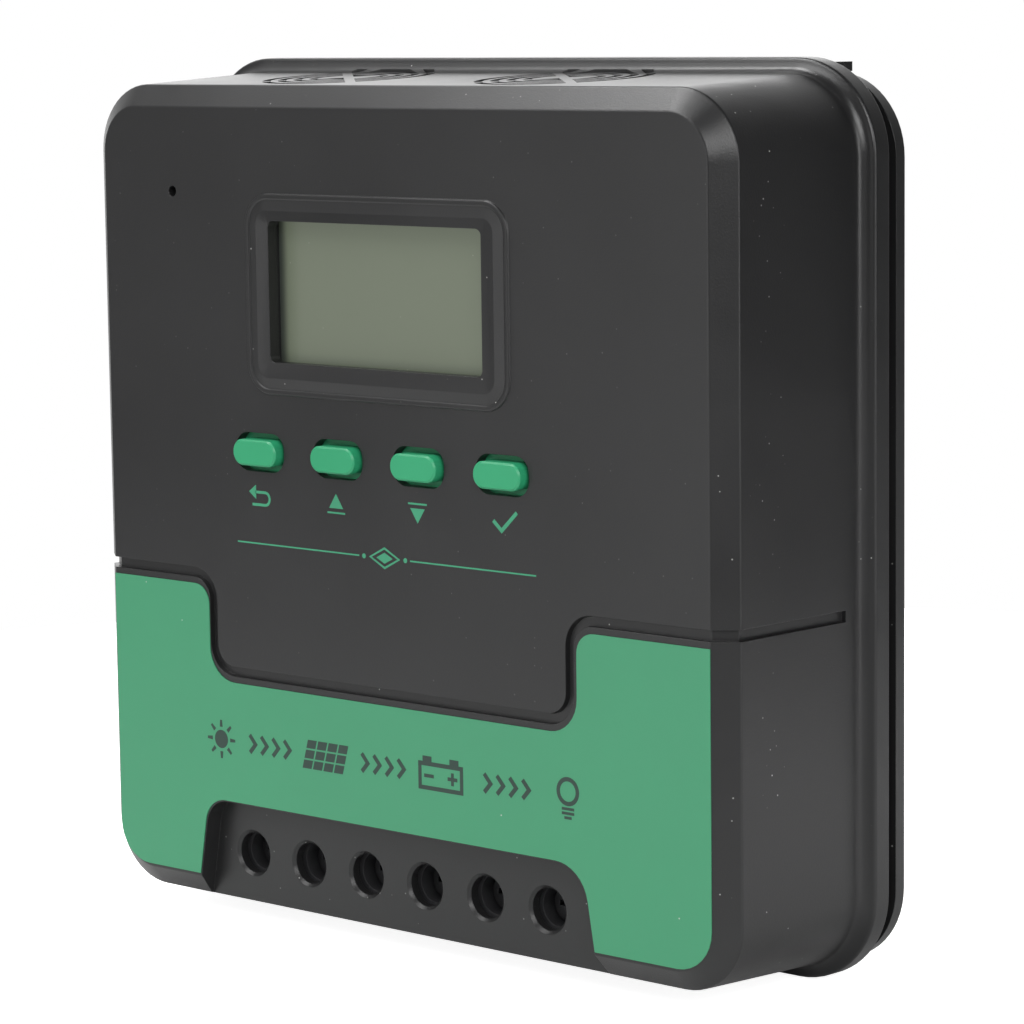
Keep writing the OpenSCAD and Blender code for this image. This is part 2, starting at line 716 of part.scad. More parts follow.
module thermal_pads() {
    color([0.62, 0.66, 0.72]) stand() for (x = fet_x) difference() {
        translate([x - 5.5, -12, sink_top + 0.02]) cube([11, 18.5, 0.22]);
        translate([x, 2.3, sink_top - 1]) cylinder(r = 1.6, h = 3);
    }
}

module mosfets() {
    fet_z = sink_top + 0.27;
    color([0.10, 0.10, 0.11]) stand() for (x = fet_x) {
        translate([x - 5, -11, fet_z]) cube([10, 9, 4.4]);
        difference() {
            translate([x - 5, -2.5, fet_z]) cube([10, 8.5, 1.3]);
            translate([x, 2.3, fet_z - cut]) cylinder(r = 1.7, h = 4);
        }
        for (k = [-1:1]) translate([x + k * 2.54 - 0.4, -22, power_top + 0.1]) cube([0.8, 11.5, 0.6]);
    }
}

module mosfet_screws() {
    color(steel) stand() for (x = fet_x) translate([x, 2.3, 0]) {
        translate([0, 0, sink_top + 1.62]) cylinder(r = 2.8, h = 2);
        translate([0, 0, sink_top - 2.8]) cylinder(r = 1.5, h = 5);
    }
}

module capacitors() {
    color([0.10, 0.12, 0.20]) stand() for (x = [-62, -44, -26]) translate([x, -36, power_top + gap]) {
        cylinder(r = 8, h = 2);
        cylinder(r = 7.6, h = 3.2);
        translate([0, 0, 3]) cylinder(r = 8, h = 22);
    }
}

choke = [52, -44];
choke_r = 12;
core_w = 8;
core_h = 12;
turn_t = 1.7;                                // thickness of the winding on the core
choke_z = power_top + gap + core_h / 2 + turn_t;

module inductor_core() {
    color([0.55, 0.53, 0.20]) stand() translate([choke[0], choke[1], choke_z])
        rotate_extrude() translate([choke_r, 0]) square([core_w, core_h], center = true);
}

// Copper turns wound round the core, each a square loop
module inductor_winding() {
    turns = 16;
    color([0.74, 0.40, 0.18]) stand() translate([choke[0], choke[1], choke_z])
        for (k = [0:turns - 1]) rotate((k + 0.5) * 320 / turns + 20) translate([choke_r, 0, 0])
            rotate([90, 0, 0]) translate([0, 0, -0.8]) linear_extrude(1.6) difference() {
                round_rect(core_w + 2 * turn_t, core_h + 2 * turn_t, 1.6);
                square([core_w + 0.1, core_h + 0.1], center = true);
            }
}

module current_shunts() {
    color([0.60, 0.48, 0.36]) stand() for (x = [-10, 8]) translate([x, -56, power_top + gap]) {
        for (e = [-1, 1]) translate([e * 5 - 0.9, -2, 0]) cube([1.8, 4, 5]);
        translate([0, 2, 5]) rotate([90, 0, 0]) linear_extrude(4) difference() {
            circle(5.9);
            circle(4.1);
            translate([-8, -16]) square(16);
        }
    }
}

module fuse_holders() {
    color([0.14, 0.14, 0.15]) stand() for (x = [0, 16]) translate([x, -36, power_top + gap]) difference() {
        translate([-4.5, -11, 0]) cube([9, 22, 9]);
        for (e = [-1, 1]) translate([-0.6, e * 7 - 3, 1.5]) cube([1.2, 6, 9]);
    }
}

module fuses() {
    color([0.85, 0.45, 0.10]) stand() for (x = [0, 16]) translate([x, -36, power_top + 9.2]) {
        translate([-2.5, -9.5, 0]) cube([5, 19, 10]);
        for (e = [-1, 1]) translate([-0.4, e * 7 - 2.6, -6]) cube([0.8, 5.2, 7]);
    }
}

module ribbon_cable() {
    bend = 4;
    ribbon_t = 1;
    color([0.62, 0.62, 0.64]) stand() translate([20, 0, 0]) {
        translate([-6, -21.5, power_top + gap]) cube([12, 5, 5]);
        translate([-6, 0, control_z - gap - 4.5]) cube([12, 5, 4.5]);
        translate([-5, 0, 0]) rotate([90, 0, 90]) linear_extrude(10) {
            translate([-19.5, power_top + 4]) square([ribbon_t, control_z - 2 - bend - power_top - 4]);
            translate([-19.5 + bend, control_z - 2 - bend]) intersection() {
                difference() {
                    circle(bend);
                    circle(bend - ribbon_t);
                }
                translate([-bend, 0]) square(bend);
            }
            translate([-19.5 + bend, control_z - 2 - ribbon_t]) square([20.5 - bend, ribbon_t]);
        }
    }
}

// ---- Fasteners of the case ----------------------------------------------------------------------------

module cover_screws() {
    color(steel) stand() for (p = cover_posts) translate([p[0], p[1], plate_z - 2.2]) {
        cylinder(r = 3.5, h = 2.2 - gap);
        cylinder(r = 1.9, h = 15);
    }
}

module display_screws() {
    color(steel) stand() for (p = display_posts) translate([p[0], p[1], control_z - 2]) {
        cylinder(r = 2.5, h = 2 - gap);
        cylinder(r = 1.2, h = 8.5);
    }
}

module fan_frame_left() { fan_frame(-1); }
module fan_frame_right() { fan_frame(1); }
module impeller_left() { impeller(-1); }
module impeller_right() { impeller(1); }
module fan_shaft_left() { fan_shaft(-1); }
module fan_shaft_right() { fan_shaft(1); }

front_cover();
back_plate();
front_label();
lcd_glass();
lcd_frame();
lcd_backlight();
control_board();
board_chips();
status_led();
switch_bodies();
button_escape();
button_up();
button_down();
button_enter();
plunger_escape();
plunger_up();
plunger_down();
plunger_enter();
fan_frame_left();
fan_frame_right();
impeller_left();
impeller_right();
fan_shaft_left();
fan_shaft_right();
fan_bearings();
fan_stators();
fan_screws();
fan_cables();
terminal_block();
current_bars();
terminal_screw_1();
terminal_screw_2();
terminal_screw_3();
terminal_screw_4();
terminal_screw_5();
terminal_screw_6();
clamp_1();
clamp_2();
clamp_3();
clamp_4();
clamp_5();
clamp_6();
power_board();
board_standoffs();
board_screws();
heatsink();
heatsink_screws();
mosfets();
mosfet_screws();
thermal_pads();
capacitors();
inductor_core();
inductor_winding();
current_shunts();
fuse_holders();
fuses();
ribbon_cable();
cover_screws();
display_screws();
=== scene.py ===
"""Looks for the wall-mounted charge controller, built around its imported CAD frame.

Panel coordinates are used for flat artwork: x to the right, y up, z out of the wall, in
millimetres. at() turns them into the row frame, in metres.
"""

import json
import math

import bpy
from mathutils import Matrix, Vector


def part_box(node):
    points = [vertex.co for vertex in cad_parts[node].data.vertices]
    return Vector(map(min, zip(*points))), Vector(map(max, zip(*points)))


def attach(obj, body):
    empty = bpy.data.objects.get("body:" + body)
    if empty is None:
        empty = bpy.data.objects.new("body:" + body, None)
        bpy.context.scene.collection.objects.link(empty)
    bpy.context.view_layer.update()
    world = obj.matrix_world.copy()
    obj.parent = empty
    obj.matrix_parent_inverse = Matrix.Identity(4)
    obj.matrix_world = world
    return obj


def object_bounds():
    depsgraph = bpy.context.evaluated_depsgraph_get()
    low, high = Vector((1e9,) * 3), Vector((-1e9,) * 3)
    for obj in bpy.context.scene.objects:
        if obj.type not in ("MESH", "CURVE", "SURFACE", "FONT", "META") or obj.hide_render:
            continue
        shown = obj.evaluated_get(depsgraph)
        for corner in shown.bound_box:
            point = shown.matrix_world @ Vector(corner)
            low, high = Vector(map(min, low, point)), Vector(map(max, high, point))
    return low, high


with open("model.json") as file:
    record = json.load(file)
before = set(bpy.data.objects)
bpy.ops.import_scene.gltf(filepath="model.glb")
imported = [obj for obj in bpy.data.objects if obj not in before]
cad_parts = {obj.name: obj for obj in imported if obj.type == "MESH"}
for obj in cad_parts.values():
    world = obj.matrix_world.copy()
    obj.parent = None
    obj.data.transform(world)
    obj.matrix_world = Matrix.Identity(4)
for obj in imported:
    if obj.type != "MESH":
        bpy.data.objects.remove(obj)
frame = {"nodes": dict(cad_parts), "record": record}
cad_box = [list(corner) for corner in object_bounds()]
nodes = frame["nodes"]
scene = bpy.context.scene
MM = 0.001


def at(x, y, z):
    """A point in panel millimetres, as a row frame point in metres."""
    return Vector((x * MM, -z * MM, y * MM))


# ---- Materials -----------------------------------------------------------------------------


def add(tree, kind, props=None, **inputs):
    """A node with its settings and inputs filled in.

    An input is given by its name, with _ for a space, or as i and its number. Its value is a
    plain value or another node's output.
    """
    made = tree.nodes.new(kind)
    for key, value in (props or {}).items():
        setattr(made, key, value)
    for key, value in inputs.items():
        numbered = key[0] == "i" and key[1:].isdigit()
        socket = made.inputs[int(key[1:]) if numbered else key.replace("_", " ")]
        if isinstance(value, bpy.types.NodeSocket):
            tree.links.new(value, socket)
        else:
            socket.default_value = value
    return made


def mix(tree, factor, a, b):
    """Colour a where factor is 0 and b where it is 1."""
    made = add(tree, "ShaderNodeMix", {"data_type": "RGBA"}, i0=factor, i6=a, i7=b)
    return made.outputs[2]


def calc(tree, operation, a, b=0.0, clamp=False):
    """A maths node on a and b."""
    made = add(tree, "ShaderNodeMath", {"operation": operation, "use_clamp": clamp}, i0=a, i1=b)
    return made.outputs[0]


def ramp(tree, value, lo, hi, out_lo=0.0, out_hi=1.0, smooth=False):
    """Takes value from the range lo to hi to the range out_lo to out_hi, held at both ends."""
    kind = "SMOOTHSTEP" if smooth else "LINEAR"
    made = add(tree, "ShaderNodeMapRange", {"interpolation_type": kind, "clamp": True},
               i0=value, i1=lo, i2=hi, i3=out_lo, i4=out_hi)
    return made.outputs[0]


def rgba(colour, factor=1.0):
    """An opaque colour, made lighter or darker by the factor."""
    return tuple(min(1.0, c * factor) for c in colour) + (1.0,)


WHITE = (1.0, 1.0, 1.0, 1.0)
NOISE = (0.3, 0.7)                           # the part of a noise texture's range that is used
CLOUDS, SWELLS, DRAWN_LINES = 17.0, 6.0, 900.0  # texture scales, per metre
SPECK_CELLS = 520.0                          # cells per metre that may each hold a dust speck
SPECK_EDGE = (0.06, 0.11)                    # where a speck fades out, in cell widths
SPECK_COLOUR = (0.52, 0.52, 0.50, 1.0)


def surface(name, colour, rough, metal=0.0, vary=0.12, grain=None, dust=0.0, bevel=0.0,
            stretch=None, flow=0.0, **bsdf):
    """A Principled material with cloudy colour and uneven gloss.

    vary: how far the colour wanders. grain: (scale, height in metres) of fine bumps. dust: share
    of the cells that may hold a speck. bevel: rounding of the edges' shading, in millimetres.
    stretch: scale along each axis of drawn or turned lines. flow: wide changes of gloss.
    """
    material = bpy.data.materials.new(name)
    material.use_nodes = True
    tree = material.node_tree
    shader = tree.nodes["Principled BSDF"]
    place = add(tree, "ShaderNodeTexCoord").outputs["Object"]
    cloud = add(tree, "ShaderNodeTexNoise", Vector=place, Scale=CLOUDS, Detail=4.0, Roughness=0.6)
    shade = ramp(tree, cloud.outputs[0], *NOISE)
    paint = mix(tree, shade, rgba(colour, 1 - vary), rgba(colour, 1 + vary))
    gloss = ramp(tree, cloud.outputs[0], *NOISE, rough - 0.04, rough + 0.04)
    if stretch:
        drawn = add(tree, "ShaderNodeMapping", Vector=place, Scale=stretch).outputs[0]
        lines = add(tree, "ShaderNodeTexNoise", Vector=drawn, Scale=DRAWN_LINES, Detail=3.0)
        gloss = calc(tree, "ADD", gloss, ramp(tree, lines.outputs[0], *NOISE, -0.08, 0.12))
        worn = ramp(tree, lines.outputs[0], 0.35, 0.65, 0.0, 0.35)
        paint = mix(tree, worn, paint, rgba(colour, 0.55))
    if flow:
        wide = add(tree, "ShaderNodeTexNoise", Vector=place, Scale=SWELLS, Detail=2.0, Distortion=1.5)
        gloss = calc(tree, "ADD", gloss, ramp(tree, wide.outputs[0], *NOISE, -flow, flow))
    normal = None
    if bevel:
        normal = add(tree, "ShaderNodeBevel", {"samples": 4}, Radius=bevel * MM).outputs[0]
    if grain:
        scale, height = grain
        bumps = add(tree, "ShaderNodeTexNoise", Vector=place, Scale=scale, Detail=2.0, Roughness=0.55)
        extra = {"Normal": normal} if normal else {}
        normal = add(tree, "ShaderNodeBump", Strength=1.0, Distance=height, Height=bumps.outputs[0],
                     **extra).outputs[0]
    if dust:
        # A speck sits in the middle of a chosen cell, more or less bright
        cell = add(tree, "ShaderNodeTexVoronoi", Vector=place, Scale=SPECK_CELLS)
        near = ramp(tree, cell.outputs["Distance"], *SPECK_EDGE, 1.0, 0.0)
        split = add(tree, "ShaderNodeSeparateColor", Color=cell.outputs["Color"])
        chosen = calc(tree, "LESS_THAN", split.outputs[0], dust)
        speck = calc(tree, "MULTIPLY", near, chosen)
        speck = calc(tree, "MULTIPLY", speck, split.outputs[1])
        paint = mix(tree, speck, paint, SPECK_COLOUR)
        gloss = calc(tree, "ADD", gloss, calc(tree, "MULTIPLY", speck, 0.4), clamp=True)
    tree.links.new(paint, shader.inputs["Base Color"])
    tree.links.new(gloss, shader.inputs["Roughness"])
    if normal:
        tree.links.new(normal, shader.inputs["Normal"])
    shader.inputs["Metallic"].default_value = metal
    for key, value in bsdf.items():
        shader.inputs[key.replace("_", " ")].default_value = value
    return material


def axes(tree):
    """The object's own coordinates, as outputs 0 to 2 for x to z."""
    place = add(tree, "ShaderNodeTexCoord").outputs["Object"]
    return add(tree, "ShaderNodeSeparateXYZ", Vector=place).outputs


def repaint(material, factor, a=None, b=None):
    """Mixes a into the base colour where factor is 0, or b where it is 1."""
    tree = material.node_tree
    base = tree.nodes["Principled BSDF"].inputs["Base Color"]
    old = base.links[0].from_socket
    tree.links.new(mix(tree, factor, a or old, b or old), base)


def lcd_look():
    """Grey-green display, made evenly bright by a painted glow, with painted shade only beside the
    window's edges.
    """
    lo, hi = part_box("lcd_glass")
    material = surface("lcd_glass", (0.070, 0.080, 0.058), 0.36, vary=0.04, grain=(5200, 4e-6),
                       dust=0.06, Coat_Weight=0.25, Coat_Roughness=0.12)
    tree = material.node_tree
    x, _, z = axes(tree)
    # Painted shade runs in from an edge of the glass between two distances, the nearer behind the frame
    (left_0, left_1), (right_0, right_1), (low_0, low_1) = (1.2, 3.8), (1.8, 4.5), (2.5, 5.0)
    left = ramp(tree, x, lo.x + left_0 * MM, lo.x + left_1 * MM, 0.2, 1.0, smooth=True)
    right = ramp(tree, x, hi.x - right_1 * MM, hi.x - right_0 * MM, 1.0, 0.9, smooth=True)
    low = ramp(tree, z, lo.z + low_0 * MM, lo.z + low_1 * MM, 0.75, 1.0, smooth=True)
    shade = calc(tree, "MULTIPLY", calc(tree, "MULTIPLY", left, right), low)
    # The painted shade darkens the glass towards a dark blue-grey beside the window's edges
    repaint(material, shade, a=(0.024, 0.028, 0.034, 1.0))
    shader = tree.nodes["Principled BSDF"]
    # Painted glow: the glass emits its own grey-green light, dimmed by the same painted shade near the
    # edges
    shader.inputs["Emission Color"].default_value = (0.080, 0.093, 0.066, 1.0)
    tree.links.new(shade, shader.inputs["Emission Strength"])
    return material


def striped_look(name, colour, band, period):
    """Insulation or sleeve with bands across x, such as the lines between a ribbon's wires."""
    material = surface(name, colour, 0.45, grain=(1800, 1e-5))
    tree = material.node_tree
    wave = calc(tree, "SINE", calc(tree, "MULTIPLY", axes(tree)[0], 2 * math.pi / period))
    repaint(material, ramp(tree, wave, 0.55, 0.85), b=rgba(band))
    return material


looks = {
    "case_black": surface("case_black", (0.0135, 0.0135, 0.0140), 0.36, grain=(2500, 2.4e-5), dust=0.16,
                          bevel=0.22, flow=0.03),
    "plate_black": surface("plate_black", (0.011, 0.011, 0.0115), 0.36, grain=(900, 1.6e-5), dust=0.06,
                           bevel=0.25, flow=0.03),
    "label_green": surface("label_green", (0.045, 0.268, 0.134), 0.42, vary=0.03, grain=(4200, 5e-6),
                           dust=0.03),
    "button_green": surface("button_green", (0.024, 0.318, 0.143), 0.40, vary=0.05, grain=(3000, 8e-6)),
    "lcd_glass": lcd_look(),
    "lcd_light": surface("lcd_light", (0.80, 0.83, 0.74), 0.30, vary=0.04, grain=(700, 1e-5)),
    "board_green": surface("board_green", (0.018, 0.13, 0.05), 0.30, vary=0.25, grain=(600, 1.2e-5),
                           Coat_Weight=0.4),
    "chip_black": surface("chip_black", (0.022, 0.022, 0.024), 0.55, grain=(3200, 2.5e-5), bevel=0.15),
    "led_clear": surface("led_clear", (0.72, 0.82, 0.74), 0.12, vary=0.04, Transmission_Weight=0.6),
    "plunger_cream": surface("plunger_cream", (0.62, 0.57, 0.46), 0.45, grain=(2600, 1e-5)),
    "fan_black": surface("fan_black", (0.020, 0.020, 0.022), 0.36, grain=(1500, 1.2e-5), bevel=0.15),
    "steel": surface("steel", (0.60, 0.61, 0.63), 0.30, metal=1.0, grain=(1400, 1.2e-5),
                     stretch=(0.3, 0.3, 3.0), bevel=0.12),
    # Painted shade: the terminal screws get dark steel so the deep driver holes above them read dark
    "screw_painted_shade": surface("screw_painted_shade", (0.10, 0.10, 0.105), 0.38, metal=1.0, grain=(1400, 1.2e-5),
                          stretch=(0.3, 3.0, 0.3), bevel=0.12),
    "brass": surface("brass", (0.68, 0.50, 0.22), 0.28, metal=1.0, stretch=(0.3, 3.0, 0.3), bevel=0.1),
    "copper": surface("copper", (0.72, 0.34, 0.17), 0.32, metal=1.0, stretch=(3.0, 0.3, 0.3), bevel=0.1),
    "aluminium": surface("aluminium", (0.72, 0.73, 0.75), 0.38, metal=1.0, stretch=(3.0, 3.0, 0.12),
                         grain=(900, 1e-5), bevel=0.1),
    "pad_grey": surface("pad_grey", (0.40, 0.45, 0.52), 0.7, grain=(2500, 2e-5)),
    "can_blue": striped_look("can_blue", (0.04, 0.055, 0.14), (0.5, 0.52, 0.55), 0.018),
    "core_yellow": surface("core_yellow", (0.48, 0.44, 0.09), 0.6, vary=0.2, grain=(1300, 4e-5)),
    "shunt_alloy": surface("shunt_alloy", (0.50, 0.40, 0.30), 0.34, metal=1.0, stretch=(3.0, 0.3, 0.3)),
    "fuse_orange": surface("fuse_orange", (0.78, 0.27, 0.02), 0.22, grain=(500, 8e-6),
                           Transmission_Weight=0.25),
    "wire_red": surface("wire_red", (0.42, 0.03, 0.03), 0.38, grain=(900, 1e-5)),
    "ribbon_grey": striped_look("ribbon_grey", (0.42, 0.42, 0.44), (0.16, 0.16, 0.17), 0.00127),
    "clamp_nickel": surface("clamp_nickel", (0.66, 0.64, 0.58), 0.26, metal=1.0, stretch=(0.3, 3.0, 0.3),
                            bevel=0.12),
    "ink_green": surface("ink_green", (0.040, 0.282, 0.150), 0.50, vary=0.08, grain=(3500, 6e-6)),
    "ink_dark": surface("ink_dark", (0.015, 0.040, 0.030), 0.46, vary=0.12, grain=(3500, 6e-6)),
}

slots = {s["node"]: s["material_slot"] for s in frame["record"]["subparts"]}


# ---- Smooth shading of the CAD nodes ---------------------------------------------------------


def smooth_group(angle):
    """Geometry nodes that join the CAD's separately meshed faces and keep only real edges sharp."""
    tree = bpy.data.node_groups.new("smooth_by_angle", "GeometryNodeTree")
    tree.interface.new_socket("Geometry", in_out="INPUT", socket_type="NodeSocketGeometry")
    tree.interface.new_socket("Geometry", in_out="OUTPUT", socket_type="NodeSocketGeometry")
    start = tree.nodes.new("NodeGroupInput")
    merged = add(tree, "GeometryNodeMergeByDistance", Geometry=start.outputs[0], Distance=3e-6)
    soft = add(tree, "GeometryNodeSetShadeSmooth", {"domain": "FACE"}, Geometry=merged.outputs[0],
               Shade_Smooth=True)
    bend = tree.nodes.new("GeometryNodeInputMeshEdgeAngle")
    sharp = add(tree, "FunctionNodeCompare", {"data_type": "FLOAT", "operation": "GREATER_THAN"},
                i0=bend.outputs[0], i1=angle)
    hard = add(tree, "GeometryNodeSetShadeSmooth", {"domain": "EDGE"}, Geometry=soft.outputs[0],
               Selection=sharp.outputs[0], Shade_Smooth=False)
    end = tree.nodes.new("NodeGroupOutput")
    tree.links.new(hard.outputs[0], end.inputs[0])
    return tree


SMOOTH = smooth_group(math.radians(28))      # edges that bend more than this stay sharp


def soften(obj, bevel=0.0):
    """Smooths curved faces, keeps flat ones flat, and rounds sharp edges by bevel millimetres."""
    for name in ("custom_normal", "sharp_face"):
        layer = obj.data.attributes.get(name)
        if layer:
            obj.data.attributes.remove(layer)
    joined = obj.modifiers.new("smooth", "NODES")
    joined.node_group = SMOOTH
    if bevel:
        edge = obj.modifiers.new("bevel", "BEVEL")
        edge.width = bevel * MM
        edge.segments = 3
        edge.limit_method = "ANGLE"
        edge.angle_limit = math.radians(32)
    weigh = obj.modifiers.new("weighted", "WEIGHTED_NORMAL")
    weigh.mode = "FACE_AREA"
    weigh.keep_sharp = True


def finish_for(name):
    """The look of a node. The terminal screws are darker than the other steel parts: painted shade for the
    deep driver holes they sit in.
    """
    return "screw_painted_shade" if name.startswith("terminal_screw") else slots[name]


def bevel_for(name):
    """How far a node's sharp edges are rounded, in millimetres."""
    if name.startswith("button_"):
        return 0.3
    return 0.35 if name == "back_plate" else 0.0


for name, obj in nodes.items():
    obj.data.materials.clear()
    obj.data.materials.append(looks[finish_for(name)])
    soften(obj, bevel_for(name))


# ---- Printed artwork, as thin solid shapes -----------------------------------------------------


class Artwork:
    """Collects flat shapes in panel millimetres and turns them into one thin solid."""

    def __init__(self, level, height):
        self.level, self.height = level, height
        self.verts, self.faces = [], []

    def strip(self, outer, inner=None):
        """A filled convex outline, or the band between two outlines with equally many points."""
        n, base = len(outer), len(self.verts)
        rings = [outer] if inner is None else [outer, inner]
        for z in (self.level, self.level + self.height):
            for ring in rings:
                self.verts += [at(x, y, z) for x, y in ring]
        top = base + n * len(rings)
        if inner is None:
            self.faces.append([base + k for k in reversed(range(n))])
            self.faces.append([top + k for k in range(n)])
            for k in range(n):
                j = (k + 1) % n
                self.faces.append([base + k, base + j, top + j, top + k])
        else:
            for k in range(n):
                j = (k + 1) % n
                self.faces.append([base + k, base + n + k, base + n + j, base + j])
                self.faces.append([top + k, top + j, top + n + j, top + n + k])
                self.faces.append([base + k, base + j, top + j, top + k])
                self.faces.append([base + n + j, base + n + k, top + n + k, top + n + j])

    def box(self, x0, y0, x1, y1):
        """A filled rectangle between two corners."""
        self.strip([(x0, y0), (x1, y0), (x1, y1), (x0, y1)])

    def frame(self, cx, cy, w, h, line):
        """A rectangle drawn with a line of the given width inside its edge."""
        def corners(a, b):
            return [(cx - a, cy - b), (cx + a, cy - b), (cx + a, cy + b), (cx - a, cy + b)]
        self.strip(corners(w / 2, h / 2), corners(w / 2 - line, h / 2 - line))

    def ring(self, cx, cy, r, line=None, steps=28):
        """A disc, or a circle drawn with a line of the given width."""
        def circle(radius):
            return [(cx + radius * math.cos(2 * math.pi * k / steps),
                     cy + radius * math.sin(2 * math.pi * k / steps)) for k in range(steps)]
        self.strip(circle(r), circle(r - line) if line else None)

    def stroke(self, points, width):
        """A line of even width through the points, with mitred corners."""
        left, right = [], []
        for k, (x, y) in enumerate(points):
            before = Vector(points[max(k - 1, 0)])
            after = Vector(points[min(k + 1, len(points) - 1)])
            here = Vector((x, y))
            a = (here - before).normalized() if k else (after - here).normalized()
            b = (after - here).normalized() if k < len(points) - 1 else a
            side = Vector((-a.y - b.y, a.x + b.x)).normalized()
            sharpest = 0.35                  # keeps the mitre of a tight corner short
            reach = width / 2 / max(sharpest, side.dot(Vector((-a.y, a.x))))
            left.append(tuple(here + side * reach))
            right.append(tuple(here - side * reach))
        for k in range(len(points) - 1):
            self.strip([left[k], right[k], right[k + 1], left[k + 1]])

    def piece(self, name, look):
        """Turns the shapes into one object that stays with the case."""
        data = bpy.data.meshes.new(name)
        data.from_pydata([tuple(v) for v in self.verts], [], self.faces)
        data.validate()
        data.materials.append(looks[look])
        obj = bpy.data.objects.new(name, data)
        scene.collection.objects.link(obj)
        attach(obj, "root")


label_lo, label_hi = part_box("front_label")
LABEL_GAP = 0.01                             # the label lies this far off the front face
FRONT = -label_hi.y / MM - LABEL_GAP
LABEL_TOP = -label_lo.y / MM
INK = 0.03                                   # thickness of the print


def arc(cx, cy, r, start, end, steps=14):
    """Points along a circle from one angle to another, in degrees."""
    return [(cx + r * math.cos(math.radians(start + (end - start) * k / steps)),
             cy + r * math.sin(math.radians(start + (end - start) * k / steps))) for k in range(steps + 1)]


# Signs below the buttons: back, up, down and accept
signs = Artwork(FRONT, INK)
row = 1.6
back_x, up_x, down_x, tick_x = -39.4, -16.2, 7.9, 32.7
signs.strip([(back_x - 3.6, row + 0.9), (back_x - 1.4, row - 0.7), (back_x - 1.4, row + 2.5)])
signs.stroke([(back_x - 1.6, row + 0.9)] + arc(back_x + 1.4, row - 0.5, 1.4, 90, -90)
             + [(back_x - 2.6, row - 1.9)], 0.62)
signs.strip([(up_x - 2.1, row - 0.9), (up_x + 2.1, row - 0.9), (up_x, row + 2.3)])
signs.box(up_x - 2.65, row - 2.1, up_x + 2.65, row - 1.7)
signs.strip([(down_x - 2.1, row + 0.9), (down_x, row - 2.3), (down_x + 2.1, row + 0.9)])
signs.box(down_x - 2.7, row + 1.7, down_x + 2.7, row + 2.1)
signs.stroke([(tick_x - 3.2, row + 0.1), (tick_x - 0.9, row - 1.9), (tick_x + 3.4, row + 2.2)], 0.85)
signs.piece("button_signs", "ink_green")

# Rule across the front, with a plain diamond in the middle
rule = Artwork(FRONT, INK)
rule_y, rule_x = -9.0, -2.0
rule_left, rule_right, rule_gap, rule_line = -46.9, 41.2, 7.5, 0.34
rule.stroke([(rule_left, rule_y), (rule_x - rule_gap, rule_y)], rule_line)
rule.stroke([(rule_x + rule_gap, rule_y), (rule_right, rule_y)], rule_line)


def diamond(a, b):
    """The corners of a diamond 2a by 2b in the middle of the rule."""
    return [(rule_x - a, rule_y), (rule_x, rule_y - b), (rule_x + a, rule_y), (rule_x, rule_y + b)]


rule.strip(diamond(4.6, 2.4), diamond(3.8, 1.9))
rule.strip(diamond(2.4, 1.2))
for sx in (-1, 1):
    rule.ring(rule_x + sx * 6.1, rule_y, 0.55, steps=16)
rule.piece("front_rule", "ink_green")

# What feeds what: sun, panel, battery and lamp, joined by chevrons
story = Artwork(LABEL_TOP, INK)
line_y = -54.6


def sun(cx, cy):
    """A disc with eight rays."""
    story.ring(cx, cy, 2.1)
    for k in range(8):
        turn = Matrix.Rotation(math.radians(45 * k), 2)
        ends = [turn @ Vector(p) for p in ((2.8, -0.45), (4.4, -0.3), (4.4, 0.3), (2.8, 0.45))]
        story.strip([(cx + p.x, cy + p.y) for p in ends])


def panel(cx, cy):
    """Twelve leaning solar cells."""
    lean = 0.28
    for i in range(4):
        for j in range(3):
            x0, y0 = cx - 6.4 + i * 3.2, -3.4 + j * 2.3
            quad = [(x0, y0), (x0 + 2.75, y0), (x0 + 2.75, y0 + 1.9), (x0, y0 + 1.9)]
            story.strip([(x + lean * y, cy + y) for x, y in quad])


def battery(cx, cy):
    """A case with two poles, a minus and a plus."""
    story.frame(cx, cy - 0.5, 13.0, 6.2, 0.95)
    for sx in (-1, 1):
        story.box(cx + sx * 3.9 - 1.3, cy + 2.6, cx + sx * 3.9 + 1.3, cy + 3.8)
        story.box(cx + sx * 3.4 - 1.4, cy - 0.9, cx + sx * 3.4 + 1.4, cy - 0.1)
    for low, high in ((-1.9, -0.9), (-0.1, 0.9)):
        story.box(cx + 3.0, cy + low, cx + 3.8, cy + high)


def lamp(cx, cy):
    """A bulb and the three lines of its cap."""
    story.ring(cx, cy + 1.1, 3.1, 0.95)
    for k, w in enumerate((1.7, 1.7, 1.0)):
        story.box(cx - w, cy - 2.9 - 0.95 * k, cx + w, cy - 2.3 - 0.95 * k)


def chevrons(cx, cy, count=4):
    """A row of arrow heads that point to the right."""
    pitch = 3.6
    for k in range(count):
        x = cx + (k - (count - 1) / 2) * pitch
        story.stroke([(x - 0.9, cy + 2.0), (x + 0.9, cy), (x - 0.9, cy - 2.0)], 1.0)


sun(-53.4, line_y)
chevrons(-38.0, line_y)
panel(-20.5, line_y)
chevrons(-3.4, line_y)
battery(13.6, line_y)
chevrons(32.4, line_y)
lamp(49.4, line_y)
story.piece("label_signs", "ink_dark")


# ---- Stage: floor, soft light and camera ---------------------------------------------------------

FLOOR_GAP = 0.0002                           # air under the object
FLOOR_R = 0.45
CENTRE = (0.0, -0.03, 0.0)                   # the middle of the object, where most lamps point


def camera_mix(tree, others, camera):
    """One shader for camera rays and another for all other rays."""
    ray = add(tree, "ShaderNodeLightPath").outputs["Is Camera Ray"]
    return add(tree, "ShaderNodeMixShader", i0=ray, i1=others.outputs[0], i2=camera.outputs[0])


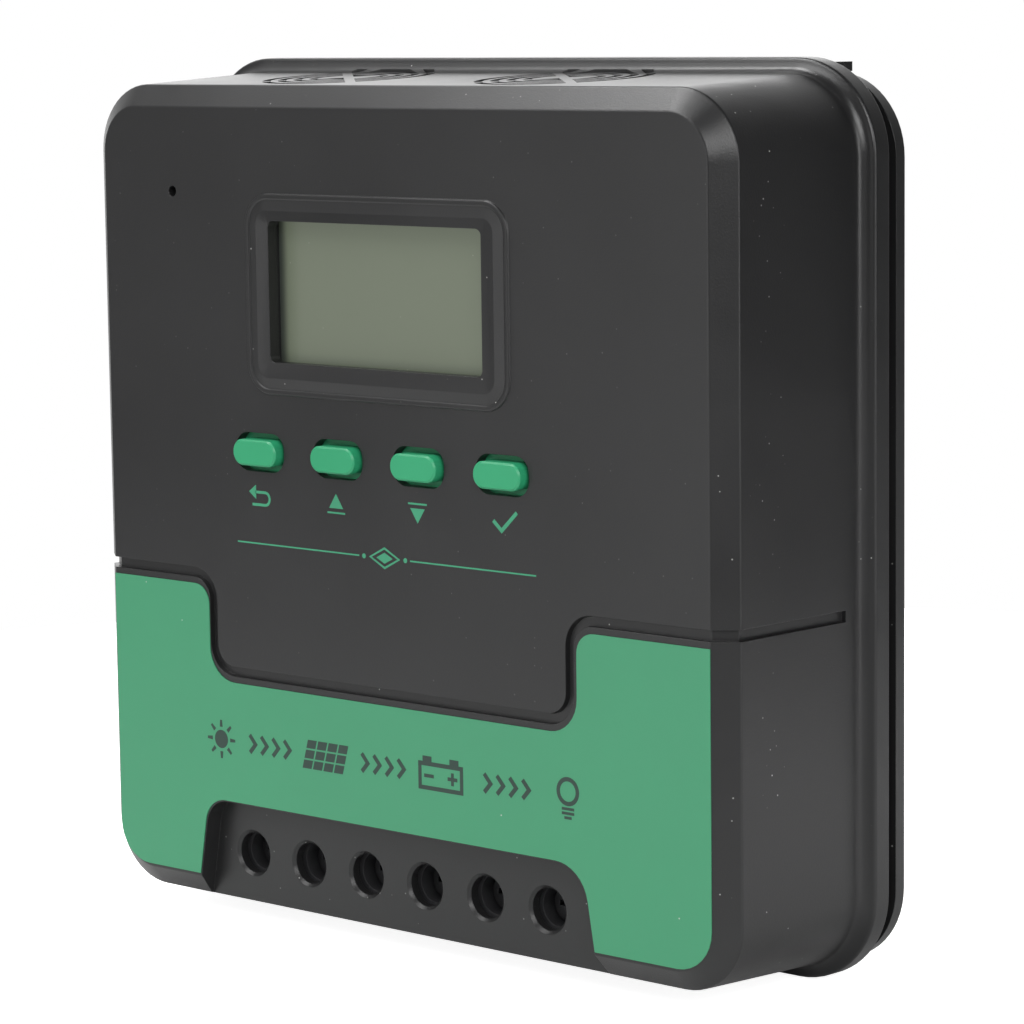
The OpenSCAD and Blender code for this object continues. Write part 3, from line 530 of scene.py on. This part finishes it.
def paper_look():
    """White paper that hardly darkens in shade, and is clear when seen from below."""
    paper = bpy.data.materials.new("floor_paper")
    paper.use_nodes = True
    tree = paper.node_tree
    tree.nodes.clear()
    sheet = add(tree, "ShaderNodeBsdfDiffuse", Color=(0.86, 0.86, 0.86, 1.0))
    glow = add(tree, "ShaderNodeEmission", Color=WHITE, Strength=0.9)
    seen = add(tree, "ShaderNodeAddShader", i0=sheet.outputs[0], i1=glow.outputs[0])
    clear = add(tree, "ShaderNodeBsdfTransparent")
    back = add(tree, "ShaderNodeNewGeometry").outputs["Backfacing"]
    above = add(tree, "ShaderNodeMixShader", i0=back, i1=seen.outputs[0], i2=clear.outputs[0])
    both = camera_mix(tree, sheet, above)
    add(tree, "ShaderNodeOutputMaterial", Surface=both.outputs[0])
    return paper


def floor_disc(steps=96):
    """A round floor just under the object, drawn as a polygon."""
    height = cad_box[0][2] - FLOOR_GAP
    angles = [2 * math.pi * k / steps for k in range(steps)]
    ring = [(FLOOR_R * math.cos(a), FLOOR_R * math.sin(a), height) for a in angles]
    disc = bpy.data.meshes.new("floor")
    disc.from_pydata(ring, [], [list(range(steps))])
    disc.materials.append(paper_look())
    floor = bpy.data.objects.new("floor", disc)
    scene.collection.objects.link(floor)


def studio_world(base=0.04, back_left=0.80):
    """White to the camera. To the object it is bright behind the left side, and dim elsewhere."""
    world = bpy.data.worlds.new("studio")
    scene.world = world
    world.use_nodes = True
    tree = world.node_tree
    tree.nodes.clear()
    sky = add(tree, "ShaderNodeSeparateXYZ", Vector=add(tree, "ShaderNodeTexCoord").outputs["Generated"])
    lean = calc(tree, "SUBTRACT", calc(tree, "MULTIPLY", sky.outputs[1], 0.75),
                calc(tree, "MULTIPLY", sky.outputs[0], 0.66))
    level = calc(tree, "ADD", ramp(tree, lean, 0.1, 0.9, 0.0, back_left, smooth=True), base)
    soft = add(tree, "ShaderNodeBackground", Color=WHITE, Strength=level)
    white = add(tree, "ShaderNodeBackground", Color=WHITE, Strength=1.0)
    add(tree, "ShaderNodeOutputWorld", Surface=camera_mix(tree, soft, white).outputs[0])


def light(name, watts, place, size, target=CENTRE, spread=180):
    """A rectangular lamp in metres, aimed at the target and out of the camera's sight."""
    data = bpy.data.lights.new(name, "AREA")
    data.shape = "RECTANGLE"
    data.size, data.size_y = size
    data.energy = watts
    data.spread = math.radians(spread)
    lamp = bpy.data.objects.new(name, data)
    scene.collection.objects.link(lamp)
    lamp.visible_camera = False
    lamp.location = place
    lamp.rotation_mode = "QUATERNION"
    lamp.rotation_quaternion = (Vector(target) - Vector(place)).to_track_quat("-Z", "Y")


def fitted_camera(place, azimuth, elevation, roll, focal):
    """A camera that stands off the front to the right and looks back, with angles in degrees."""
    azimuth, elevation, roll = (math.radians(a) for a in (azimuth, elevation, roll))
    back = Vector((math.sin(azimuth) * math.cos(elevation), -math.cos(azimuth) * math.cos(elevation),
                   math.sin(elevation)))
    flat = (-back).cross(Vector((0, 0, 1))).normalized()
    rise = flat.cross(-back)
    right = flat * math.cos(roll) + rise * math.sin(roll)
    up = rise * math.cos(roll) - flat * math.sin(roll)
    lens = bpy.data.cameras.new("camera")
    lens.sensor_width = 36.0
    lens.lens = focal
    lens.clip_start, lens.clip_end = 0.01, 20.0
    camera = bpy.data.objects.new("camera", lens)
    scene.collection.objects.link(camera)
    camera.matrix_world = Matrix.Translation(place) @ Matrix((right, up, back)).transposed().to_4x4()
    return camera


floor_disc()
studio_world()
light("key", 10.6, (-0.50, -0.85, 1.05), (0.8, 0.8))
light("strip", 2.8, (-0.36, -0.12, 0.80), (0.2, 0.3), target=(0.05, -0.05, 0.09))
light("backdrop", 4.6, (-1.0, 1.15, 0.40), (1.4, 0.8))
light("front_fill", 1.9, (-1.0, -1.35, 0.20), (1.2, 1.0))
light("low_fill", 3.6, (-0.30, -1.45, -0.02), (1.0, 0.8))
light("camera_fill", 13.8, (1.1, -1.0, 0.75), (0.8, 0.8))
light("floor_wash", 0.36, (0.38, 0.24, 0.75), (0.2, 0.2), target=(0.32, 0.18, -0.1), spread=40)
light("side_rim", 3.5, (1.15, -0.15, 0.25), (0.25, 0.8))
scene.camera = fitted_camera((0.55038, -0.64046, 0.10708), 41.493, 7.552, -0.738, focal=132.57)
scene.view_settings.view_transform = "Standard"
